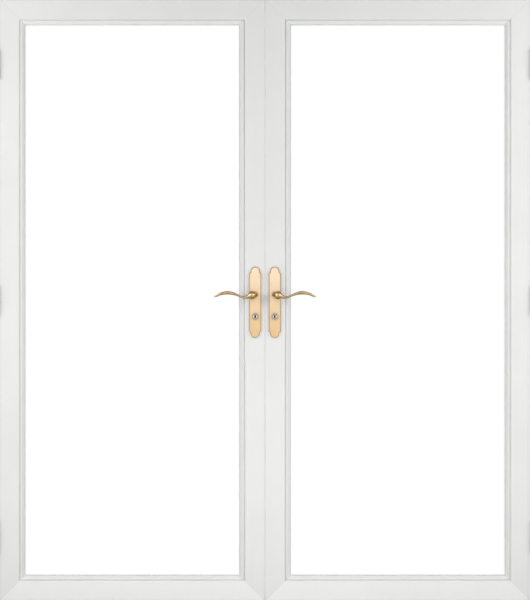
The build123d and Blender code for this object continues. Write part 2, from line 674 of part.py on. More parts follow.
# Leaf halves of the hinges: plate on the hinge stile, upper knuckle over the pin
with BuildPart() as hinge_leaves:
    for height in HINGE_HEIGHTS:
        with BuildSketch(Plane.XY.offset(height - HINGE_H / 2)):
            with Locations((HINGE_X - HINGE_PLATE_T, FRONT_Y)):
                Rectangle(HINGE_PLATE_T, HINGE_PLATE_W, align=CORNER)
        extrude(amount=HINGE_H)
        with BuildSketch(Plane.XY.offset(height + KNUCKLE_GAP / 2)):
            with Locations((HINGE_X - HINGE_PLATE_T, HINGE_AXIS_Y)):
                Rectangle(HINGE_PLATE_T, HINGE_FRONT, align=CORNER)
            with Locations((HINGE_AXIS_X, HINGE_AXIS_Y)):
                Circle(KNUCKLE_R)
                Circle(PIN_R + PIN_CLEAR, mode=Mode.SUBTRACT)
        extrude(amount=(HINGE_H - KNUCKLE_GAP) / 2)
write_pair(hinge_leaves.part, "hinge_leaves")


def plate_outline():
    """Long plate: round lobes at both ends, with a cove out to each shoulder."""
    half_w = PLATE_W / 2
    half_h = PLATE_H / 2
    lobe_z = half_h - LOBE_R
    cove_z = lobe_z - LOBE_STEP
    with BuildSketch() as outline:
        with BuildLine():
            CenterArc((0, lobe_z), LOBE_R, 0, 90)
            Line((LOBE_R, lobe_z), (LOBE_R, cove_z))
            CenterArc((half_w, cove_z), half_w - LOBE_R, 180, 90)
            Line((half_w, cove_z - half_w + LOBE_R), (half_w, 0))
            mirror(about=Plane.XZ)
            mirror(about=Plane.YZ)
        make_face()
    return outline.sketch


def lever_plate(back, boss_in):
    """A cast plate on its back plane: bevelled face, hollow back, bevelled collars and screw bosses."""
    outwards = Axis(back.origin, back.z_dir)
    lever_z = SPINDLE_Z - PLATE_Z
    screw_places = [(0, height - PLATE_Z) for height in SCREW_HEIGHTS]
    with BuildPart() as plate:
        with BuildSketch(back):
            add(plate_outline())
        extrude(amount=PLATE_T)
        chamfer(plate.faces().sort_by(outwards)[-1].edges(), PLATE_BEVEL)
        with BuildSketch(back):
            Rectangle(PLATE_W - 2 * PLATE_RIM, PLATE_H - 2 * PLATE_HOLLOW_END)
        extrude(amount=PLATE_T - PLATE_SKIN, mode=Mode.SUBTRACT)
        with BuildSketch(back):
            with Locations((0, lever_z)):
                Circle(COLLAR_R)
        extrude(amount=PLATE_T + COLLAR_H)
        with BuildSketch(back):
            with Locations((0, CYLINDER_Z - PLATE_Z)):
                Circle(CYLINDER_COLLAR_R)
        extrude(amount=PLATE_T + CYLINDER_COLLAR_H)
        chamfer(plate.faces(Select.LAST).sort_by(outwards)[-1].edges(), CYLINDER_COLLAR_BEVEL)
        with BuildSketch(back.offset(-boss_in)):
            with Locations(*screw_places):
                Circle(SCREW_BOSS_R)
        extrude(amount=boss_in + PLATE_T - PLATE_SKIN)
        with BuildSketch(back):
            with Locations((0, lever_z)):
                Circle(SHANK_R + RUNNING_CLEAR)
        extrude(amount=PLATE_T + COLLAR_H, mode=Mode.SUBTRACT)
        chamfer(plate.faces().sort_by(outwards)[-1].edges(), COLLAR_BEVEL)
    return plate.part


# Outside plate: bored for the cylinder, with blind screw bosses that reach into the stile
with BuildPart() as outside_plate:
    add(lever_plate(outward(SPINDLE_X, 0, PLATE_Z), SCREW_BOSS_IN))
    with Locations(outward(SPINDLE_X, -PLATE_T - CYLINDER_COLLAR_H, CYLINDER_Z)):
        Hole(CYLINDER_R + CYLINDER_CLEAR, depth=PLATE_T + CYLINDER_COLLAR_H)
    with Locations(*[inward(SPINDLE_X, SCREW_BOSS_IN, height) for height in SCREW_HEIGHTS]):
        Hole(SCREW_R + SCREW_CLEAR, depth=SCREW_BOSS_IN + PLATE_T - PLATE_SKIN)
write_pair(outside_plate.part, "outside_plate")

# Inside plate: bored for the thumbturn and for the screws, whose heads are on this side
with BuildPart() as inside_plate:
    add(lever_plate(inward(SPINDLE_X, LEAF_T, PLATE_Z), 0))
    with Locations(inward(SPINDLE_X, LEAF_T + PLATE_T + CYLINDER_COLLAR_H, CYLINDER_Z)):
        Hole(TURN_SHANK_R + RUNNING_CLEAR, depth=PLATE_T + CYLINDER_COLLAR_H)
    with Locations(*[inward(SPINDLE_X, LEAF_T + PLATE_T, height) for height in SCREW_HEIGHTS]):
        Hole(SCREW_R + SCREW_CLEAR, depth=PLATE_T)
write_pair(inside_plate.part, "inside_plate")

# Plate screws: from the inside plate through the stile into the outside plate's bosses
SCREW_REACH = PLATE_T - PLATE_SKIN - SCREW_TIP_GAP
with BuildPart() as plate_screws:
    with BuildSketch(inward(SPINDLE_X, LEAF_T + PLATE_T, SPINDLE_Z)):
        with Locations((0, SCREW_UP), (0, -SCREW_DOWN)):
            Circle(SCREW_HEAD_R)
    extrude(amount=SCREW_HEAD_H)
    chamfer(plate_screws.edges().group_by(Axis.Y)[-1], SCREW_HEAD_BEVEL)
    with BuildSketch(inward(SPINDLE_X, -SCREW_REACH, SPINDLE_Z)):
        with Locations((0, SCREW_UP), (0, -SCREW_DOWN)):
            Circle(SCREW_R)
    extrude(amount=SCREW_REACH + LEAF_T + PLATE_T)
write_pair(plate_screws.part, "plate_screws")

# Levers: one casting each, socketed on the square spindle
NECK_START = Vector(SPINDLE_X, FRONT_Y - SHANK_OUT + NECK_SINK, SPINDLE_Z)
ELBOW = Vector(SPINDLE_X - ELBOW_ALONG, FRONT_Y - ELBOW_OUT, SPINDLE_Z - ELBOW_DROP)
NECK_DIR = (ELBOW - NECK_START).normalized()
LEVER_TURNS = [2 * pi * side / LEVER_SIDES for side in range(LEVER_SIDES)]
GRIP_POINTS = [
    (SPINDLE_X - along * GRIP_REACH, FRONT_Y - GRIP_OUT, SPINDLE_Z + rise * GRIP_RISE)
    for along, rise, thick, deep in GRIP_SHARES
]
grip_line = Spline(*GRIP_POINTS)


def lever_oval(half_deep, half_thick):
    """An oval section of the casting, its round drawn as narrow flats."""
    with BuildSketch() as oval:
        with BuildLine():
            Polyline(*[(half_deep * cos(turn), half_thick * sin(turn)) for turn in LEVER_TURNS], close=True)
        make_face()
    return oval.sketch


with BuildPart() as outside_lever:
    with BuildSketch(outward(SPINDLE_X, -SHANK_SET, SPINDLE_Z)):
        Circle(SHANK_R)
    extrude(amount=SHANK_OUT - SHANK_SET)
    with BuildSketch(Plane(NECK_START, x_dir=(0, 0, 1), z_dir=NECK_DIR)):
        add(lever_oval(NECK_R, NECK_R))
    for along, radius in ELBOW_SHARES:
        with BuildSketch(Plane(ELBOW + NECK_DIR * along * ELBOW_R, x_dir=(0, 0, 1), z_dir=NECK_DIR)):
            add(lever_oval(radius * ELBOW_R, radius * ELBOW_R))
    loft()
    for point, (along, rise, thick, deep) in zip(GRIP_POINTS, GRIP_SHARES):
        with BuildSketch(Plane(point, x_dir=(0, 1, 0), z_dir=grip_line.tangent_at(point))):
            add(lever_oval(deep * GRIP_DEEP / 2, thick * GRIP_THICK / 2))
    loft()
    with BuildSketch(outward(SPINDLE_X, -SHANK_SET, SPINDLE_Z)):
        Rectangle(SPINDLE_SIDE + 2 * SPINDLE_CLEAR, SPINDLE_SIDE + 2 * SPINDLE_CLEAR)
    extrude(amount=SOCKET_OUT - SHANK_SET, mode=Mode.SUBTRACT)
write_pair(outside_lever.part, "outside_lever")
write_pair(mirror(outside_lever.part, about=LEAF_MIDDLE), "inside_lever")

# Spindle: square bar through both levers and the pinion
SPINDLE_OUT = SOCKET_OUT - SPINDLE_END_GAP
with BuildPart() as spindle:
    with BuildSketch(outward(SPINDLE_X, LEAF_T + SPINDLE_OUT, SPINDLE_Z)):
        Rectangle(SPINDLE_SIDE, SPINDLE_SIDE)
    extrude(amount=LEAF_T + 2 * SPINDLE_OUT)
write_pair(spindle.part, "spindle")


def rack_tooth(turn):
    """One tooth of the pinion or of a rack, its root sunk a little into what carries it."""
    root = TOOTH_THICK_SHARE * TOOTH_PITCH + 2 * (DEDENDUM + TOOTH_SINK) / tan(radians(FLANK_ANGLE))
    tall = ADDENDUM + DEDENDUM + TOOTH_SINK
    Trapezoid(root, tall, FLANK_ANGLE, rotation=turn, align=(Align.CENTER, Align.MIN))


# Drive pinion on the spindle, its hub running in the lock case
with BuildPart() as drive_pinion:
    with BuildSketch(outward(SPINDLE_X, MID_DEPTH + PINION_T / 2, SPINDLE_Z)):
        Circle(ROOT_R)
        with PolarLocations(ROOT_R - TOOTH_SINK, TOOTH_COUNT):
            rack_tooth(-90)
    extrude(amount=PINION_T)
    with BuildSketch(outward(SPINDLE_X, CASE_BACK, SPINDLE_Z)):
        Circle(HUB_R)
    extrude(amount=CASE_T)
    with BuildSketch(outward(SPINDLE_X, CASE_BACK, SPINDLE_Z)):
        Rectangle(SPINDLE_SIDE + 2 * SPINDLE_CLEAR, SPINDLE_SIDE + 2 * SPINDLE_CLEAR)
    extrude(amount=CASE_T, mode=Mode.SUBTRACT)
write_pair(drive_pinion.part, "drive_pinion")

# Lock case with its forend let into the meeting edge
with BuildPart() as lock_case:
    with BuildSketch(outward(MEET_X - BAR_WALL - CASE_W, CASE_BACK, SPINDLE_Z - CASE_DOWN)):
        Rectangle(CASE_W, CASE_H, align=CORNER)
    extrude(amount=CASE_T)
    with BuildSketch(outward(MEET_X - BAR_WALL - CASE_W, CASE_BACK - CASE_WALL, SPINDLE_Z - CASE_DOWN)):
        with Locations((CASE_WALL, CASE_WALL)):
            Rectangle(CASE_W - 2 * CASE_WALL, CASE_H - 2 * CASE_WALL, align=CORNER)
    extrude(amount=CASE_T - 2 * CASE_WALL, mode=Mode.SUBTRACT)
    with BuildSketch(EDGE_FACE):
        Rectangle(FOREND_W, FOREND_H)
    extrude(amount=-BAR_WALL)
    with Locations(outward(SPINDLE_X, CASE_DEPTH, SPINDLE_Z)):
        Hole(HUB_R + RUNNING_CLEAR, depth=CASE_T)
    with Locations(outward(SPINDLE_X, CASE_DEPTH, CYLINDER_Z)):
        Hole(CAM_HUB_R + HOLE_CLEAR, depth=CASE_T)
    with BuildSketch(Plane.XY.offset(SPINDLE_Z + CASE_UP)):
        with Locations((UPPER_ROD_X, MID_Y)):
            Rectangle(ROD_W + 2 * ROD_CLEAR, ROD_T + 2 * ROD_CLEAR)
    extrude(amount=-CASE_WALL - OVERRUN, mode=Mode.SUBTRACT)
    with BuildSketch(Plane.XY.offset(SPINDLE_Z - CASE_DOWN)):
        with Locations((LOWER_ROD_X, MID_Y)):
            Rectangle(ROD_W + 2 * ROD_CLEAR, ROD_T + 2 * ROD_CLEAR)
    extrude(amount=CASE_WALL + OVERRUN, mode=Mode.SUBTRACT)
write_pair(lock_case.part, "lock_case")

# Upper rod: rack on the glass side of the pinion, round bolt at the top
RACK_REACH = (RACK_TEETH / 2 + 1) * TOOTH_PITCH + RACK_END
with BuildPart() as upper_rod:
    with BuildSketch(outward(UPPER_ROD_X, MID_DEPTH + ROD_T / 2, SPINDLE_Z)):
        with Locations((-ROD_W / 2, -RACK_REACH)):
            Rectangle(ROD_W, LEAF_TOP - BOLT_SET - BOLT_L - SPINDLE_Z + RACK_REACH, align=CORNER)
        with Locations((ROD_W / 2 - TOOTH_SINK, -TOOTH_PITCH)):
            with GridLocations(TOOTH_PITCH, TOOTH_PITCH, 1, RACK_TEETH):
                rack_tooth(-90)
    extrude(amount=ROD_T)
    with BuildSketch(Plane.XY.offset(LEAF_TOP - BOLT_SET - BOLT_L)):
        with Locations((UPPER_ROD_X, MID_Y)):
            Circle(BOLT_R)
    extrude(amount=BOLT_L)
    chamfer(upper_rod.edges().group_by(Axis.Z)[-1], BOLT_TIP)
write_pair(upper_rod.part, "upper_rod")

# Lower rod: rack on the edge side, round bolt at the foot, and the lug that the cam deadlocks
LUG_Z = CYLINDER_Z - CAM_W / 2 - CAM_GAP - LUG_T + THROW
LUG_W = ROD_FLANK - CAM_REACH + LUG_LAP
with BuildPart() as lower_rod:
    with BuildSketch(outward(LOWER_ROD_X, MID_DEPTH + ROD_T / 2, SPINDLE_Z)):
        with Locations((-ROD_W / 2, LEAF_Z + BOLT_SET + BOLT_L - SPINDLE_Z)):
            Rectangle(ROD_W, SPINDLE_H - BOLT_SET - BOLT_L + RACK_REACH, align=CORNER)
        with Locations((TOOTH_SINK - ROD_W / 2, TOOTH_PITCH)):
            with GridLocations(TOOTH_PITCH, TOOTH_PITCH, 1, RACK_TEETH):
                rack_tooth(90)
        with Locations((-ROD_W / 2 - LUG_W, LUG_Z - SPINDLE_Z)):
            Rectangle(LUG_W, LUG_T, align=CORNER)
    extrude(amount=ROD_T)
    with BuildSketch(Plane.XY.offset(LEAF_Z + BOLT_SET)):
        with Locations((LOWER_ROD_X, MID_Y)):
            Circle(BOLT_R)
    extrude(amount=BOLT_L)
    chamfer(lower_rod.edges().group_by(Axis.Z)[0], BOLT_TIP)
write_pair(lower_rod.part, "lower_rod")

# Key cylinder: the fixed body reaches from the outside plate's collar to the lock case
CYLINDER_OUT = PLATE_T + CYLINDER_COLLAR_H + CYLINDER_PROUD
with BuildPart() as cylinder_body:
    with BuildSketch(outward(SPINDLE_X, CASE_DEPTH, CYLINDER_Z)):
        Circle(CYLINDER_R)
    extrude(amount=CASE_DEPTH + CYLINDER_OUT)
    chamfer(cylinder_body.edges().group_by(Axis.Y)[0], CYLINDER_BEVEL)
    with Locations(outward(SPINDLE_X, -CYLINDER_OUT, CYLINDER_Z)):
        Hole(PLUG_R + RUNNING_CLEAR, depth=CASE_DEPTH + CYLINDER_OUT)
write_pair(cylinder_body.part, "cylinder_body")

# Key plug: dished keyway in front, flat tail behind it to the thumbturn, and the deadlock cam
TAIL_BACK = LEAF_T + PLATE_T + CYLINDER_COLLAR_H - TAIL_END_GAP
with BuildPart() as cylinder_plug:
    with BuildSketch(outward(SPINDLE_X, CASE_DEPTH, CYLINDER_Z)):
        Circle(PLUG_R)
    extrude(amount=CASE_DEPTH + CYLINDER_OUT + PLUG_PROUD)
    with BuildSketch(outward(SPINDLE_X, KEYWAY_DEEP - CYLINDER_OUT, CYLINDER_Z)):
        SlotOverall(KEYWAY_H, KEYWAY_W, rotation=90)
    extrude(amount=KEYWAY_DEEP + PLUG_PROUD, mode=Mode.SUBTRACT)
    with BuildSketch(outward(SPINDLE_X, KEY_DISH_DEEP - CYLINDER_OUT - PLUG_PROUD, CYLINDER_Z)):
        SlotOverall(KEYWAY_H + 2 * KEY_DISH_RIM, KEYWAY_W + 2 * KEY_DISH_RIM, rotation=90)
    extrude(amount=KEY_DISH_DEEP, mode=Mode.SUBTRACT)
    with BuildSketch(outward(SPINDLE_X, TAIL_BACK, CYLINDER_Z)):
        Rectangle(TAIL_T, TAIL_W)
    extrude(amount=TAIL_BACK - CASE_DEPTH)
    with BuildSketch(outward(SPINDLE_X, MID_DEPTH + CAM_T / 2, CYLINDER_Z)):
        Circle(CAM_HUB_R)
        with Locations((-CAM_W / 2, 0)):
            Rectangle(CAM_W, CAM_REACH, align=CORNER)
    extrude(amount=CAM_T)
write_pair(cylinder_plug.part, "cylinder_plug")

# Thumbturn: shank in the inside plate's collar, a flange and a wing to hold
TURN_FACE = LEAF_T + PLATE_T + CYLINDER_COLLAR_H + TURN_GAP
with BuildPart() as thumbturn:
    with BuildSketch(inward(SPINDLE_X, TURN_FACE + TURN_FLANGE_T, CYLINDER_Z)):
        SlotOverall(TURN_L, TURN_T, rotation=90)
    extrude(amount=TURN_H)
    chamfer(thumbturn.edges().group_by(Axis.Y)[-1], TURN_BEVEL)
    with BuildSketch(inward(SPINDLE_X, TURN_FACE, CYLINDER_Z)):
        Circle(TURN_COLLAR_R)
    extrude(amount=TURN_FLANGE_T)
    with BuildSketch(inward(SPINDLE_X, LEAF_T + SHANK_SET, CYLINDER_Z)):
        Circle(TURN_SHANK_R)
    extrude(amount=TURN_FACE - LEAF_T - SHANK_SET)
    with BuildSketch(inward(SPINDLE_X, LEAF_T + SHANK_SET, CYLINDER_Z)):
        Rectangle(TAIL_T + 2 * TAIL_CLEAR, TAIL_W + 2 * TAIL_CLEAR)
    extrude(amount=TURN_FACE - LEAF_T - SHANK_SET, mode=Mode.SUBTRACT)
write_pair(thumbturn.part, "thumbturn")
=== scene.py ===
import math

import bmesh
import bpy
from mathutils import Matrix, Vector


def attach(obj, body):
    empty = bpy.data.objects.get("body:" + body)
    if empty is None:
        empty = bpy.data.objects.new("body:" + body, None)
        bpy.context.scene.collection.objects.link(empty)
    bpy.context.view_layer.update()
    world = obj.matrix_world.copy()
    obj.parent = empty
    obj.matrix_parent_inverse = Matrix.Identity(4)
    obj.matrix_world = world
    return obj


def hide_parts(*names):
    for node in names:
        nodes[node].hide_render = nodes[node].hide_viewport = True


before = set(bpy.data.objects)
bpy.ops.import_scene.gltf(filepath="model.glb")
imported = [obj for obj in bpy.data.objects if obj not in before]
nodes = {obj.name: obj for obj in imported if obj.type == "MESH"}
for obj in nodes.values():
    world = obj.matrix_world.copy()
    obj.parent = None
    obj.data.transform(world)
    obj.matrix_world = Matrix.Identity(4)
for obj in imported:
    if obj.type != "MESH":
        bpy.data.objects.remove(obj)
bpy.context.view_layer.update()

# Jambs, head and stops: white powder-coated aluminium box sections, screwed to the wall opening.
# The coat has a fine orange-peel skin, faint clouding, and a little dust low down by the floor.
FRAME_WHITES = ((0.785, 0.783, 0.773), (0.820, 0.818, 0.809))
COAT_CLOUD = 5.0
COAT_GLOSS = (0.34, 0.46)
GLOSS_PATCHES = (14.0, 4.0)
PEEL = (420.0, 2.0)
PEEL_RELIEF = (0.00012, 0.35)
DUST_HEIGHTS = (0.02, 0.22)
DUST_MOST = 0.14
DUST_SPECKS = (38.0, 5.0)
DUST_TONE = (0.58, 0.56, 0.52)
CLOUD_DETAIL = (4.0, 0.6)
CLOUD_BAND = (0.35, 0.65)
GLOSS_BAND = (0.3, 0.7)


def add(tree, kind, props=None, **inputs):
    """One shader node, with its settings and its inputs, each a value or another node's socket."""
    item = tree.nodes.new("ShaderNode" + kind)
    for name, value in (props or {}).items():
        setattr(item, name, value)
    for name, value in inputs.items():
        numbered = name[0] == "i" and name[1:].isdigit()
        socket = item.inputs[int(name[1:]) if numbered else name.replace("_", " ")]
        if isinstance(value, bpy.types.NodeSocket):
            tree.links.new(value, socket)
        else:
            socket.default_value = value
    return item


def calc(tree, operation, first, second=0.0):
    """The result of one sum on sockets or numbers."""
    return add(tree, "Math", {"operation": operation}, i0=first, i1=second).outputs[0]


def spread(tree, value, low, high, to_low, to_high):
    """A value taken from one range to another, and held at its ends."""
    ends = {"From_Min": low, "From_Max": high, "To_Min": to_low, "To_Max": to_high}
    return add(tree, "MapRange", Value=value, **ends).outputs[0]


def axes_of(tree, vector):
    """The X, Y and Z of a vector."""
    return add(tree, "SeparateXYZ", Vector=vector).outputs


def noise(tree, vector, scale, detail, rough=0.5):
    """A fractal pattern on rest coordinates: its waves to the metre, octaves and roughness."""
    made = add(tree, "TexNoise", Vector=vector, Scale=scale, Detail=detail, Roughness=rough)
    return made.outputs["Fac"]


def new_material(name, metallic=0.0):
    """An empty node material: its tree, its shader, and its rest coordinates in metres."""
    made = bpy.data.materials.new(name)
    made.use_nodes = True
    tree = made.node_tree
    shader = tree.nodes["Principled BSDF"]
    shader.inputs["Metallic"].default_value = metallic
    return made, tree, shader, add(tree, "TexCoord").outputs["Object"]


def tinted(tree, share, under, over):
    """One tone laid over another by a share; each tone is three numbers or a socket."""
    laid = {}
    for name, tone in (("i6", under), ("i7", over)):
        laid[name] = tone if isinstance(tone, bpy.types.NodeSocket) else (*tone, 1.0)
    return add(tree, "Mix", {"data_type": "RGBA"}, i0=share, **laid).outputs[2]


def clouded(tree, place, tones, scale, low=0.0, high=1.0):
    """A tone that clouds between a dark and a light one."""
    cloud = spread(tree, noise(tree, place, scale, *CLOUD_DETAIL), *CLOUD_BAND, low, high)
    return tinted(tree, cloud, *tones)


def coloured(tree, shader, tone):
    """Base colour from a tone."""
    tree.links.new(tone, shader.inputs["Base Color"])


def glossed(tree, shader, pattern, ends, band=GLOSS_BAND):
    """Roughness that follows a pattern between two ends."""
    rough = spread(tree, pattern, *band, *ends)
    tree.links.new(rough, shader.inputs["Roughness"])
    return rough


def bumped(tree, shader, height, depth, strength):
    """Relief of a depth in metres and a strength, from a height between 0 and 1."""
    bump = add(tree, "Bump", Height=height, Distance=depth, Strength=strength).outputs[0]
    tree.links.new(bump, shader.inputs["Normal"])
    return bump


def powder_coat(name, tones):
    """White powder coat: orange-peel relief, clouded tone and gloss, dust near the floor."""
    made, tree, shader, place = new_material(name)
    low_down = spread(tree, axes_of(tree, place)["Z"], *DUST_HEIGHTS, DUST_MOST, 0.0)
    dust = calc(tree, "MULTIPLY", low_down, noise(tree, place, *DUST_SPECKS))
    tone = tinted(tree, dust, clouded(tree, place, tones, COAT_CLOUD), DUST_TONE)
    coloured(tree, shader, tone)
    gloss = glossed(tree, shader, noise(tree, place, *GLOSS_PATCHES), COAT_GLOSS)
    peel = bumped(tree, shader, noise(tree, place, *PEEL), *PEEL_RELIEF)
    return made, tree, shader, place, tone, gloss, peel


def dress(finish, *names):
    """Put a finish on CAD nodes."""
    for name in names:
        nodes[name].material_slots[0].material = finish


frame_white = powder_coat("frame_coat", FRAME_WHITES)[0]
dress(frame_white, "left_jamb", "right_jamb", "head_jamb", "door_stops")

# Sill: a mill-anodised aluminium extrusion on the floor, with drawn lines along it.
# Its top is scuffed and dulled where feet cross it.
SILL_GREYS = ((0.50, 0.50, 0.49), (0.62, 0.62, 0.61))
SILL_CLOUD = (9.0, 0.1, 0.9)
SILL_LINES = ((3.0, 900.0, 900.0), 3.0)
SILL_SCUFFS = ((60.0, 18.0, 18.0), 6.0, 0.7)
SILL_GLOSS = (0.28, 0.52)
SILL_WORN_BAND = (0.7, 1.3)
SILL_RELIEF = (0.0001, 0.5)


def drawn_out(tree, place, scales, detail, rough=0.5):
    """A pattern whose waves to the metre differ by axis, as lines along a bar do."""
    stretched = add(tree, "Mapping", Vector=place, Scale=scales).outputs[0]
    return noise(tree, stretched, 1.0, detail, rough)


sill_metal, tree, shader, place = new_material("sill_metal", 1.0)
coloured(tree, shader, clouded(tree, place, SILL_GREYS, *SILL_CLOUD))
lines = drawn_out(tree, place, *SILL_LINES)
scuffs = drawn_out(tree, place, *SILL_SCUFFS)
glossed(tree, shader, calc(tree, "ADD", lines, scuffs), SILL_GLOSS, SILL_WORN_BAND)
bumped(tree, shader, lines, *SILL_RELIEF)
dress(sill_metal, "sill")

# Soft strips: white seals in front of the stops and down the meeting edges, and a grey sweep.
# They are extruded rubber, matt and finely pitted, with a dusty bloom in patches.
SEAL_WHITES = ((0.66, 0.66, 0.645), (0.74, 0.74, 0.725))
SWEEP_GREYS = ((0.30, 0.30, 0.295), (0.40, 0.40, 0.39))
RUBBER_CLOUD = 22.0
RUBBER_BLOOM = (60.0, 3.0)
RUBBER_GLOSS = (0.62, 0.8)
RUBBER_PITS = (900.0, 2.0)
RUBBER_RELIEF = (0.0001, 0.6)


def rubber(name, tones):
    """Extruded rubber: matt, finely pitted, with a pale bloom in patches."""
    made, tree, shader, place = new_material(name)
    coloured(tree, shader, clouded(tree, place, tones, RUBBER_CLOUD))
    glossed(tree, shader, noise(tree, place, *RUBBER_BLOOM), RUBBER_GLOSS)
    bumped(tree, shader, noise(tree, place, *RUBBER_PITS), *RUBBER_RELIEF)
    return made


def pair(*names):
    """The left and right nodes of these names."""
    return [f"{side}_{name}" for side in ("left", "right") for name in names]


dress(rubber("seal_rubber", SEAL_WHITES), "stop_seals", *pair("edge_seal"))
dress(rubber("sweep_rubber", SWEEP_GREYS), *pair("bottom_sweep"))

# Hinges: pressed steel plates and rolled knuckles, coated white like the bars.
# Countersunk screws hold each plate; their heads lie all but flush and carry a cross recess.
HINGE_WHITES = ((0.785, 0.783, 0.772), (0.82, 0.818, 0.808))
HINGE_HEIGHTS = (0.250, 1.046, 1.842)
HINGE_ROWS = (-0.038, -0.013, 0.013, 0.038)
HINGE_LINES = (-0.049, -0.034)
HINGE_PLATE_T = 0.0017
JAMB_X = 0.901
LEAF_EDGE_X = 0.897
SCREW_R = 0.0034
SCREW_PROUD = 0.00022
SCREW_DEEP = 0.0015
CROSS_L = 0.0036
CROSS_W = 0.0008
CROSS_DEEP = 0.0012
CROSS_TAPER = 0.8
# From the root of a head to its face: share of the radius, and rise.
HEAD_RIMS = ((0.55, -SCREW_DEEP), (1.0, 0.0), (0.94, SCREW_PROUD * 0.7), (0.74, SCREW_PROUD))
HEAD_RING = 24
FULL_TURN = 2.0 * math.pi
ALONG_X = Vector((1.0, 0.0, 0.0))
ALONG_Y = Vector((0.0, 1.0, 0.0))
ALONG_Z = Vector((0.0, 0.0, 1.0))
hinge_white = powder_coat("hinge_coat", HINGE_WHITES)[0]
dress(hinge_white, "frame_hinge_leaves", *pair("hinge_leaves"))


def band(mesh, near, far):
    """Faces all round between two rings of the same count."""
    for step in range(len(near)):
        after = (step + 1) % len(near)
        mesh.faces.new((near[step], near[after], far[after], far[step]))


def cross_head(mesh, centre, out, across):
    """One countersunk head, closed all round: a cone, a low dome, and a cross sunk in its face."""
    up = out.cross(across)

    def ring_at(spots, rise):
        return [mesh.verts.new(centre + across * x + up * y + out * rise) for x, y in spots]

    turns = [FULL_TURN * step / HEAD_RING for step in range(HEAD_RING)]
    circle = [(SCREW_R * math.cos(turn), SCREW_R * math.sin(turn)) for turn in turns]
    rims = [ring_at([(share * x, share * y) for x, y in circle], rise) for share, rise in HEAD_RIMS]
    half, arm = CROSS_W / 2.0, CROSS_L / 2.0
    outline = [
        (arm, half), (half, half), (half, arm), (-half, arm), (-half, half), (-arm, half),
        (-arm, -half), (-half, -half), (-half, -arm), (half, -arm), (half, -half), (arm, -half),
    ]
    tapered = [(x * CROSS_TAPER, y * CROSS_TAPER) for x, y in outline]
    top = ring_at(outline, SCREW_PROUD)
    foot = ring_at(tapered, SCREW_PROUD - CROSS_DEEP)
    for low, high in zip(rims, rims[1:]):
        band(mesh, low, high)
    band(mesh, top, foot)
    mesh.faces.new(rims[0])
    mesh.faces.new(foot)
    corners = [math.atan2(y, x) % FULL_TURN for x, y in outline]
    corners.append(corners[0] + FULL_TURN)
    rim, corner = 0, 0
    while rim < HEAD_RING or corner < len(outline):
        here, inner = rims[-1][rim % HEAD_RING], top[corner % len(outline)]
        next_turn = FULL_TURN * (rim + 1) / HEAD_RING
        if corner == len(outline) or (rim < HEAD_RING and next_turn <= corners[corner + 1]):
            rim += 1
            mesh.faces.new((here, rims[-1][rim % HEAD_RING], inner))
        else:
            corner += 1
            mesh.faces.new((here, top[corner % len(outline)], inner))


def piece_from(mesh, name, finish, body):
    """A finished piece from a bmesh, riding on its body."""
    bmesh.ops.recalc_face_normals(mesh, faces=mesh.faces)
    data = bpy.data.meshes.new(name)
    mesh.to_mesh(data)
    mesh.free()
    made = bpy.data.objects.new(name, data)
    bpy.context.scene.collection.objects.link(made)
    data.materials.append(finish)
    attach(made, body)
    return made


for body, signs, plate, facing in (
    ("frame", (-1, 1), JAMB_X - HINGE_PLATE_T, -1),
    ("left_leaf", (-1,), LEAF_EDGE_X + HINGE_PLATE_T, 1),
    ("right_leaf", (1,), LEAF_EDGE_X + HINGE_PLATE_T, 1),
):
    heads = bmesh.new()
    for sign in signs:
        for height in HINGE_HEIGHTS:
            for order, row in enumerate(HINGE_ROWS):
                spot = Vector((sign * plate, HINGE_LINES[order % 2], height + row))
                cross_head(heads, spot, ALONG_X * (sign * facing), ALONG_Y)
    piece_from(heads, f"{body}_hinge_screws", hinge_white, body)

# Lock parts and keepers: zinc-plated steel, drawn along its length, with a faint warm passivation.
# Small cross-head screws hold the keepers to the head and the sill, and the forends to the stiles.
STEEL_GREYS = ((0.50, 0.49, 0.46), (0.62, 0.62, 0.61))
STEEL_CLOUD = 40.0
STEEL_LINES = ((700.0, 700.0, 12.0), 3.0)
STEEL_GLOSS = (0.26, 0.44)
STEEL_RELIEF = (0.00008, 0.5)
LEAF_MID_Y = -0.035
HEAD_KEEPER_Z = 2.064
HEAD_KEEPER_SCREWS = (-0.071, -0.039, 0.039, 0.071)
SILL_KEEPER_Z = 0.026
SILL_KEEPER_SCREWS = (-0.027, 0.0, 0.027)
FOREND_X = 0.002
FOREND_SCREWS = (1.111, 0.950)
lock_steel, tree, shader, place = new_material("lock_steel", 1.0)
coloured(tree, shader, clouded(tree, place, STEEL_GREYS, STEEL_CLOUD))
lines = drawn_out(tree, place, *STEEL_LINES)
glossed(tree, shader, lines, STEEL_GLOSS)
bumped(tree, shader, lines, *STEEL_RELIEF)
dress(lock_steel, "bolt_keepers", *pair("lock_case", "spindle", "drive_pinion"))
dress(lock_steel, *pair("upper_rod", "lower_rod"))

keeper_screws = bmesh.new()
for x in HEAD_KEEPER_SCREWS:
    cross_head(keeper_screws, Vector((x, LEAF_MID_Y, HEAD_KEEPER_Z)), -ALONG_Z, ALONG_X)
for x in SILL_KEEPER_SCREWS:
    cross_head(keeper_screws, Vector((x, LEAF_MID_Y, SILL_KEEPER_Z)), ALONG_Z, ALONG_X)
piece_from(keeper_screws, "keeper_screws", lock_steel, "frame")

for side, sign in (("left", -1), ("right", 1)):
    heads = bmesh.new()
    for height in FOREND_SCREWS:
        cross_head(heads, Vector((sign * FOREND_X, LEAF_MID_Y, height)), ALONG_X * -sign, ALONG_Y)
    piece_from(heads, f"{side}_forend_screws", lock_steel, f"{side}_leaf")

